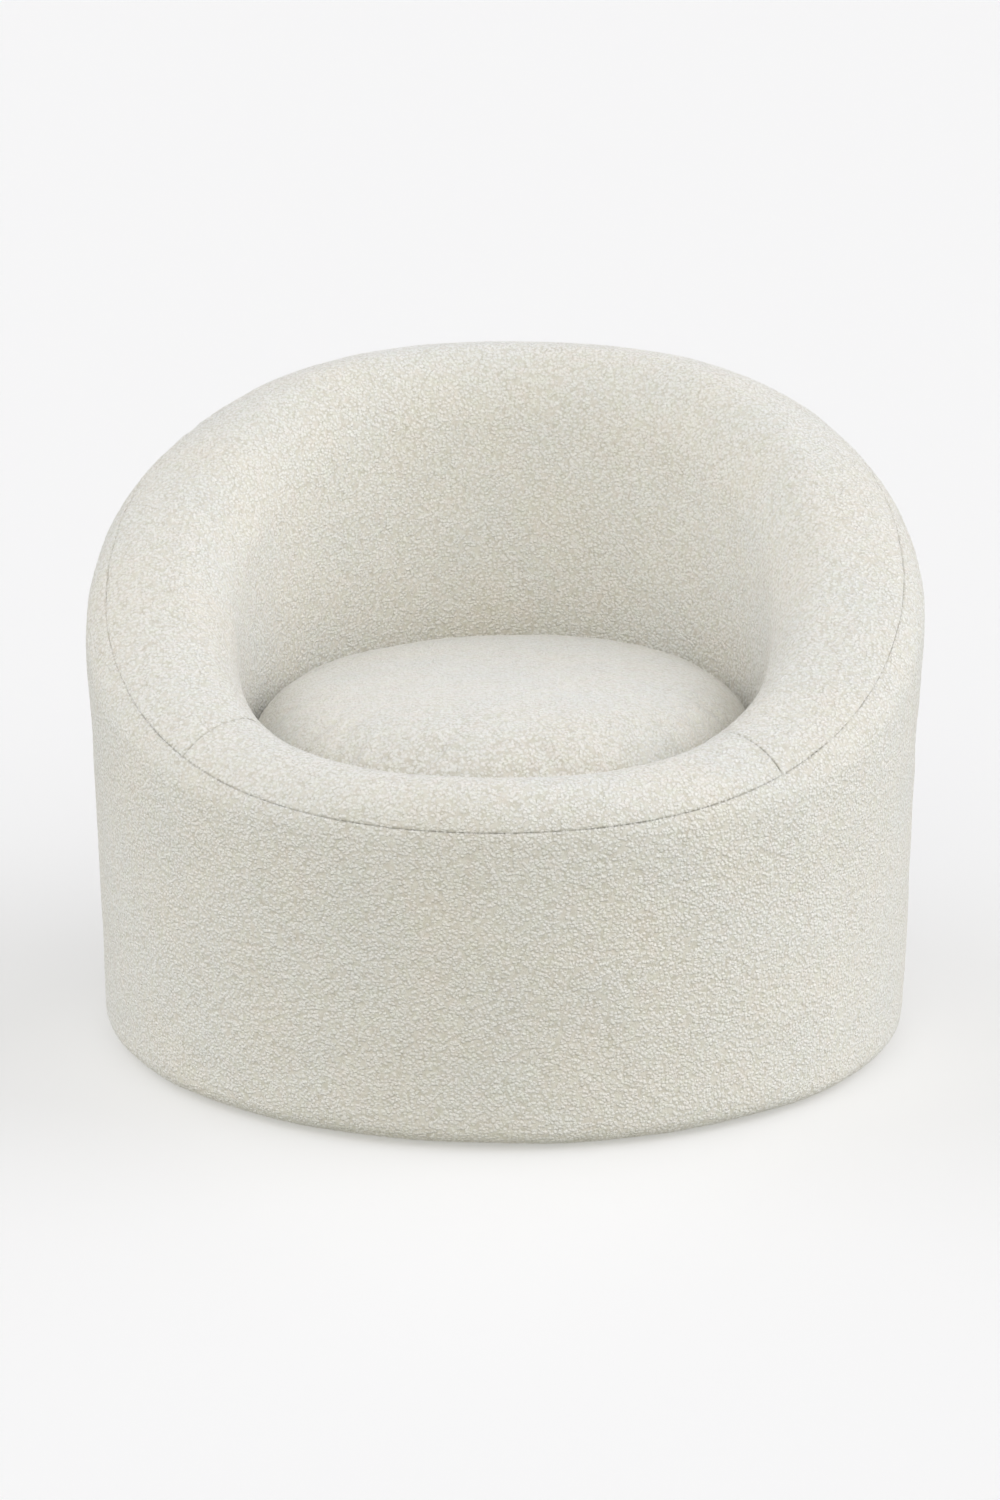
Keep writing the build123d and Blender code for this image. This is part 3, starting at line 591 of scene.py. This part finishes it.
def boucle_material():
    """Off-white looped yarn: pale loops over warmer gaps darkened with painted shade, a painted shade
    line in the seams, and a soft pile sheen.
    """
    mat, nodes, links, shader = new_material("boucle", 0.93)
    where = nodes.new("ShaderNodeTexCoord").outputs["Object"]
    nub = nodes.new("ShaderNodeAttribute")
    nub.attribute_name = "nub"
    seam = nodes.new("ShaderNodeAttribute")
    seam.attribute_name = "seam"
    # Loops: rounded cells, pushed about so that they curl and differ in size.
    wobble = noise(nodes, links, where, CURLS)
    bend = nodes.new("ShaderNodeVectorMath")
    bend.operation = "MULTIPLY_ADD"
    links.new(wobble.outputs["Color"], bend.inputs[0])
    bend.inputs[1].default_value = (CURL,) * 3
    links.new(where, bend.inputs[2])
    stretch = nodes.new("ShaderNodeVectorMath")
    stretch.operation = "MULTIPLY"
    links.new(bend.outputs[0], stretch.inputs[0])
    stretch.inputs[1].default_value = LOOP_STRETCH
    curls = cells(nodes, links, stretch.outputs[0], LOOPS)
    dome = ramp(nodes, [(0.0, (1.0,) * 3), (0.28, (0.82,) * 3), (0.62, (0.0,) * 3)])
    links.new(curls.outputs["Distance"], dome.inputs["Fac"])
    strands = noise(nodes, links, where, STRANDS, rough=STRAND_ROUGH)
    high = math_node(nodes, links, "MULTIPLY_ADD", strands.outputs["Fac"], STRAND_SHARE)
    links.new(dome.outputs["Color"], high.node.inputs[2])
    depth = math_node(nodes, links, "MULTIPLY_ADD", nub.outputs["Fac"], LUMP_SHARE)
    links.new(math_node(nodes, links, "MULTIPLY", high, LOOP_SHARE), depth.node.inputs[2])
    # Low depth, the gaps between loops, is painted in shade; loop tops are pale.
    tone = ramp(nodes, [(0.10, GAP_SHADE_COLOUR), (0.42, MIDDLE_COLOUR), (0.95, LOOP_COLOUR)])
    links.new(depth, tone.inputs["Fac"])
    # Slow drift of the dye, and loops that differ a little from each other.
    broad = ramp(nodes, [(0.3, (1.0, 0.985, 0.955)), (0.7, (0.975, 0.985, 0.985))])
    links.new(noise(nodes, links, where, DYE, 3).outputs["Fac"], broad.inputs["Fac"])
    colour = mix_colour(nodes, links, "MULTIPLY", 1.0, tone.outputs["Color"],
                        broad.outputs["Color"])
    fleck = ramp(nodes, [(0.25, (1.0, 0.97, 0.965)), (0.5, (1.0, 1.0, 1.0)),
                         (0.75, (0.975, 0.99, 0.95))])
    links.new(noise(nodes, links, where, FLECKS).outputs["Fac"], fleck.inputs["Fac"])
    colour = mix_colour(nodes, links, "MULTIPLY", FLECK_SHARE, colour, fleck.outputs["Color"])
    # The seams' cracks are painted in dark shade, with loops lying over them here and there.
    bare = ramp(nodes, [(0.35, (1.0,) * 3), (0.95, (0.35,) * 3)])
    links.new(high, bare.inputs["Fac"])
    shade = math_node(nodes, links, "MULTIPLY", seam.outputs["Fac"], bare.outputs["Color"])
    colour = mix_colour(nodes, links, "MIX", shade, colour, SEAM_SHADE_COLOUR)
    links.new(colour, shader.inputs["Base Color"])
    bump = nodes.new("ShaderNodeBump")
    bump.inputs["Strength"].default_value = BUMP
    bump.inputs["Distance"].default_value = BUMP_HIGH
    links.new(high, bump.inputs["Height"])
    links.new(bump.outputs["Normal"], shader.inputs["Normal"])
    shader.inputs["Sheen Weight"].default_value = 0.5
    shader.inputs["Sheen Roughness"].default_value = 0.5
    shader.inputs["Sheen Tint"].default_value = (0.98, 0.99, 1.0, 1)
    shader.inputs["Specular IOR Level"].default_value = 0.2
    return mat


def plain_material(name, dark, light, rough, scale, metal=0.0):
    """A simple procedural finish: two tones of noise with a matching bump."""
    mat, nodes, links, shader = new_material(name, rough)
    where = nodes.new("ShaderNodeTexCoord").outputs["Object"]
    grain = noise(nodes, links, where, scale, 4)
    tone = ramp(nodes, [(0.3, dark), (0.7, light)])
    links.new(grain.outputs["Fac"], tone.inputs["Fac"])
    links.new(tone.outputs["Color"], shader.inputs["Base Color"])
    wear = ramp(nodes, [(0.2, (rough - WEAR,) * 3), (0.8, (min(1, rough + WEAR),) * 3)])
    links.new(grain.outputs["Fac"], wear.inputs["Fac"])
    links.new(wear.outputs["Color"], shader.inputs["Roughness"])
    relief = nodes.new("ShaderNodeBump")
    relief.inputs["Strength"].default_value = 0.5
    relief.inputs["Distance"].default_value = RELIEF
    links.new(grain.outputs["Fac"], relief.inputs["Height"])
    links.new(relief.outputs["Normal"], shader.inputs["Normal"])
    shader.inputs["Metallic"].default_value = metal
    return mat


BOUCLE = boucle_material()


# ---------------------------------------------------------------- the covers

def finish_piece(obj, body, *nodes, fill=None):
    obj.data.materials.clear()
    obj.data.materials.append(BOUCLE)
    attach(obj, body)
    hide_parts(*nodes)


def build_tub():
    band = cloth_grid("outside_band", band_profile, math.pi, 3 * math.pi, False, True, 0.0005)
    finish_piece(band, "chair_body", "cover_outside_band", "outer_wadding", fill=1)
    lip = cloth_grid("front_lip", rim_profile, -LEFT_SPLIT, RIGHT_SPLIT, True, False, 0.0008)
    finish_piece(lip, "chair_body", "cover_front_lip", "foam_front_lip", fill=0.9)
    inside = cloth_grid("arms_and_back", rim_profile, RIGHT_SPLIT, 2 * math.pi - LEFT_SPLIT,
                        True, False, 0.0008)
    finish_piece(inside, "chair_body", "cover_arms_back", "foam_arm_left", "foam_arm_right",
                 "foam_back", fill=0.9)


def cushion_profile():
    """Half outline of the cushion from the middle of its underside to its crown."""
    low, high, radius = CUSHION_LOW.z, CUSHION_HIGH.z, CUSHION_RADIUS
    points = [(0.0, low), ((radius - CUSHION_CORNER) * 0.5, low)]
    for t in np.linspace(0, math.pi / 2, CORNER_POINTS):
        r = radius - CUSHION_CORNER * (1 - math.sin(t))
        points.append((r, ZIP_Z - (ZIP_Z - low) * math.cos(t)))
    for t in np.linspace(0, math.pi / 2, CROWN_POINTS)[1:]:
        across, up = max(0.0, math.cos(t)) ** CROWN_POWER, math.sin(t) ** CROWN_POWER
        points.append((radius * across, ZIP_Z + (high - ZIP_Z) * up))
    return np.array(points)


def lathe(name, outline, y, columns):
    """A closed round body about the upright line at this y, from half its outline."""
    r, z = outline[1:-1].T
    turns = np.linspace(0, 2 * math.pi, columns, endpoint=False)
    rings = np.stack([r[:, None] * np.sin(turns), y - r[:, None] * np.cos(turns),
                      z[:, None] + 0 * turns], axis=-1)
    obj = make_object(name, rings.reshape(-1, 3), grid_faces(len(r), columns, True))
    shape = bmesh.new()
    shape.from_mesh(obj.data)
    bmesh.ops.holes_fill(shape, edges=[e for e in shape.edges if e.is_boundary], sides=0)
    bmesh.ops.recalc_face_normals(shape, faces=shape.faces)
    shape.to_mesh(obj.data)
    shape.free()
    return obj


def apply_modifiers(obj):
    graph = bpy.context.evaluated_depsgraph_get()
    mesh = bpy.data.meshes.new_from_object(obj.evaluated_get(graph))
    obj.modifiers.clear()
    old = obj.data
    obj.data = mesh
    bpy.data.meshes.remove(old)


def points_of(obj):
    flat = np.empty(len(obj.data.vertices) * 3, np.float32)
    obj.data.vertices.foreach_get("co", flat)
    return flat.reshape(-1, 3).astype(float)


def put_points(obj, points):
    obj.data.vertices.foreach_set("co", np.ascontiguousarray(points, np.float32).ravel())
    obj.data.update()


def normals_of(obj):
    flat = np.empty(len(obj.data.vertices) * 3, np.float32)
    obj.data.vertices.foreach_get("normal", flat)
    return flat.reshape(-1, 3).astype(float)


def remesh(obj, size):
    mod = obj.modifiers.new("voxels", "REMESH")
    mod.mode = "VOXEL"
    mod.voxel_size = size
    mod.use_smooth_shade = True
    apply_modifiers(obj)


def inflate(obj, pressure, frames, cap):
    """Blow the cloth up a little, as its filling does, and keep each point within cap."""
    before = points_of(obj)
    mod = obj.modifiers.new("cloth", "CLOTH")
    cloth = mod.settings
    cloth.quality = 5
    cloth.mass = 0.3
    cloth.tension_stiffness = 12
    cloth.compression_stiffness = 12
    cloth.bending_stiffness = 0.6
    cloth.use_pressure = True
    cloth.uniform_pressure_force = pressure
    cloth.effector_weights.gravity = 0
    mod.collision_settings.use_collision = False
    mod.point_cache.frame_start = 1
    mod.point_cache.frame_end = frames
    for number in range(1, frames + 1):
        bpy.context.scene.frame_set(number)
    apply_modifiers(obj)
    bpy.context.scene.frame_set(1)
    move = points_of(obj) - before
    far = np.linalg.norm(move, axis=1, keepdims=True)
    put_points(obj, before + move * np.minimum(1, cap / np.maximum(far, 1e-9)))


def fit_back(rel):
    """Bring the blown shape back to its size: widest line, crown and flat underside."""
    rel[:, :2] *= CUSHION_RADIUS / np.hypot(rel[:, 0], rel[:, 1]).max()
    above = rel[:, 2] > 0
    rel[above, 2] *= CROWN_SINK * (CUSHION_HIGH.z - ZIP_Z) / rel[:, 2].max()
    rel[~above, 2] = np.maximum(rel[~above, 2], CUSHION_LOW.z - ZIP_Z)
    return rel


def build_cushion():
    """The domed loose cushion, blown up from a slightly smaller shape."""
    obj = lathe("seat_cushion_pad", cushion_profile(), CUSHION_Y, CUSHION_COLUMNS)
    remesh(obj, VOXEL)
    middle = np.array([0, CUSHION_Y, ZIP_Z])
    put_points(obj, middle + (points_of(obj) - middle) * START_SHAPE)
    inflate(obj, PRESSURE, CLOTH_FRAMES, PUFF_CAP)
    put_points(obj, middle + fit_back(points_of(obj) - middle))
    mod = obj.modifiers.new("finer", "SUBSURF")
    mod.levels = mod.render_levels = 1
    apply_modifiers(obj)
    obj.data.polygons.foreach_set("use_smooth", np.ones(len(obj.data.polygons), bool))
    points, normal = points_of(obj), normals_of(obj)
    rel = points - middle
    reach = np.hypot(rel[:, 0], rel[:, 1])
    side = np.abs(rel[:, 2])
    edge = np.where(reach > CUSHION_RADIUS * SIDE_SHARE, side, 1.0)
    nub = boucle(points * CUSHION_LUMPS)
    # The top is painted paler; towards the front edge painted shade grows and the lumps stand higher.
    unshaded_and_flat = np.clip(2 * (rel[:, 1] / FRONT_SHADE_REACH + 1), FRONT_SHADE_LOWEST, 1)
    lift = CUSHION_NUB * (2 - unshaded_and_flat) * (nub - CUSHION_NUB_LEVEL)
    lift += swells(points, CUSHION_SWELLS, 71)
    lift -= turned_in(edge, CUSHION_SEAM_ROLL, CUSHION_SEAM_DEEP)
    tight = reach > CUSHION_RADIUS * TIGHT_SHARE
    lift = np.where(tight, np.minimum(lift, TIGHT_LIFT), lift)
    points = points + normal * lift[:, None]
    # The filling has slid a little towards the front and the sitter's left.
    rel = points - middle
    up = np.maximum(rel[:, 2], 0) / (CUSHION_HIGH.z - ZIP_Z)
    points[:, 2] += (SLIDE * rel[:, 0] - BACK_FALL * rel[:, 1]) * up
    # Channel that the zip lies in, round the back.
    turn = np.degrees(np.arctan2(rel[:, 1], rel[:, 0]))
    in_zip = (np.abs(rel[:, 2]) < ZIP_HALF) & (turn > ZIP_FIRST) & (turn < 180 - ZIP_FIRST)
    reach = np.hypot(rel[:, 0], rel[:, 1])
    pull = np.where(in_zip & (reach > ZIP_BED), ZIP_BED / np.maximum(reach, 1e-6), 1)
    points[:, :2] = middle[:2] + rel[:, :2] * pull[:, None]
    put_points(obj, points)
    # Pile height, painted paler over the top and in shade towards the front.
    set_value(obj, "nub", nub + CUSHION_PAINTED_PALER * unshaded_and_flat)
    # Painted shade along the side seam.
    set_value(obj, "seam", CUSHION_SIDE_SHADE * np.exp(-edge / CUSHION_SEAM_SHOWS))
    finish_piece(obj, "seat_cushion", "cushion_cover_top", "cushion_cover_bottom",
                 "cushion_boxing", "cushion_foam", "cushion_crown_pad", fill=0.9)


# ---------------------------------------------------------------- finishes of the hidden parts

def dress_cad_nodes():
    plies = plain_material("birch_ply", (0.50, 0.34, 0.18), (0.68, 0.50, 0.30), 0.65, 18)
    finishes = {
        "plywood": plies,
        "hardboard": plain_material("hardboard", (0.18, 0.11, 0.06), (0.26, 0.17, 0.10), 0.7, 60),
        "foam": plain_material("open_foam", (0.78, 0.70, 0.48), (0.86, 0.79, 0.58), 0.95, 700),
        "fibre": plain_material("bonded_fibre", (0.80, 0.80, 0.78), (0.92, 0.92, 0.90), 0.95, 300),
        "zinc_steel": plain_material("zinc", (0.55, 0.56, 0.57), (0.70, 0.71, 0.72), 0.38, 90, 1.0),
        "spring_steel": plain_material("spring", (0.10, 0.10, 0.11), (0.20, 0.20, 0.21), 0.4, 90, 1.0),
        "ball_steel": plain_material("ball", (0.72, 0.72, 0.74), (0.80, 0.80, 0.82), 0.12, 40, 1.0),
        "nylon": plain_material("nylon", (0.020, 0.020, 0.020), (0.035, 0.035, 0.035), 0.5, 200),
        "felt": plain_material("felt", (0.22, 0.22, 0.21), (0.34, 0.34, 0.33), 0.95, 500),
        "deck_cloth": plain_material("deck_weave", (0.62, 0.59, 0.52), (0.72, 0.69, 0.62), 0.9, 800),
        "dust_cloth": plain_material("non_woven", (0.012,) * 3, (0.03,) * 3, 0.9, 600),
        "zip_tape": plain_material("zip_weave", (0.66, 0.63, 0.55), (0.78, 0.75, 0.68), 0.85, 900),
        "zip_coil": plain_material("zip_coil", (0.70, 0.67, 0.60), (0.80, 0.77, 0.70), 0.5, 600),
        "zip_metal": plain_material("zip_paint", (0.60, 0.57, 0.50), (0.66, 0.63, 0.56), 0.35, 200),
        "boucle": BOUCLE,
    }
    slots = {s["node"]: s["material_slot"] for s in frame["record"]["subparts"]}
    for node, obj in frame["nodes"].items():
        obj.data.materials.clear()
        obj.data.materials.append(finishes[slots[node]])


# ---------------------------------------------------------------- studio

def soft_light(name, around, up, colour):
    """A very wide distant light, which lights the whole floor evenly."""
    data = bpy.data.lights.new(name, "SUN")
    data.energy = 1
    data.color = colour
    data.angle = math.radians(LIGHT_SPREAD)
    light = bpy.data.objects.new(name, data)
    a, e = math.radians(around), math.radians(up)
    towards = Vector((math.sin(a) * math.cos(e), -math.cos(a) * math.cos(e), math.sin(e)))
    light.rotation_mode = "QUATERNION"
    light.rotation_quaternion = (-towards).to_track_quat("-Z", "Y")
    bpy.context.scene.collection.objects.link(light)


def floor_material():
    """Pale glowing sweep, as over a light table, so that the shadow on it stays faint."""
    mat, *_, shader = new_material("pale_sweep", 0.9)
    shader.inputs["Base Color"].default_value = (FLOOR_DIFFUSE,) * 3 + (1,)
    shader.inputs["Specular IOR Level"].default_value = 0
    shader.inputs["Emission Color"].default_value = (1, 1, 1, 1)
    shader.inputs["Emission Strength"].default_value = FLOOR_GLOW
    return mat


def studio():
    corners = np.array([(-1, -1, 0), (1, -1, 0), (1, 1, 0), (-1, 1, 0)], float) * FLOOR_HALF
    floor = make_object("studio_floor", corners, np.array([[0, 1, 2, 3]]))
    floor.data.materials.append(floor_material())
    # The chair is lit from below by the world instead, so the floor lets that light through.
    floor.visible_diffuse = False
    floor.visible_shadow = False
    world = bpy.data.worlds.new("studio")
    world.use_nodes = True
    nodes, links = world.node_tree.nodes, world.node_tree.links
    split = nodes.new("ShaderNodeSeparateXYZ")
    links.new(nodes.new("ShaderNodeTexCoord").outputs["Generated"], split.inputs[0])
    tone = ramp(nodes, [(0.0, BELOW), (0.02, SKY)])
    links.new(split.outputs["Z"], tone.inputs["Fac"])
    links.new(tone.outputs["Color"], nodes["Background"].inputs["Color"])
    bpy.context.scene.world = world
    for name, (around, up, colour) in SOFT_LIGHTS.items():
        soft_light(name, around, up, colour)
    bpy.context.scene.view_settings.view_transform = "Standard"


def camera():
    """The product view: a little above the lip, turned a few degrees to the sitter's left."""
    azimuth, elevation = math.radians(CAMERA_TURN), math.radians(CAMERA_UP)
    back = Vector((math.sin(azimuth) * math.cos(elevation),
                   -math.cos(azimuth) * math.cos(elevation), math.sin(elevation)))
    right = Vector((math.cos(azimuth), math.sin(azimuth), 0))
    up = back.cross(right)
    target = Vector((0, 0, LOOK_AT * WIDTH))
    data = bpy.data.cameras.new("camera")
    data.lens = LENS
    data.sensor_width = SENSOR
    cam = bpy.data.objects.new("camera", data)
    bpy.context.scene.collection.objects.link(cam)
    eye = target + back * (CAMERA_AWAY * WIDTH)
    aim = target - right * LOOK_LEFT - up * LOOK_DOWN
    cam.location = eye
    cam.rotation_mode = "QUATERNION"
    cam.rotation_quaternion = (aim - eye).to_track_quat("-Z", "Y")
    bpy.context.scene.camera = cam


camera()
studio()
build_tub()
build_cushion()
dress_cad_nodes()
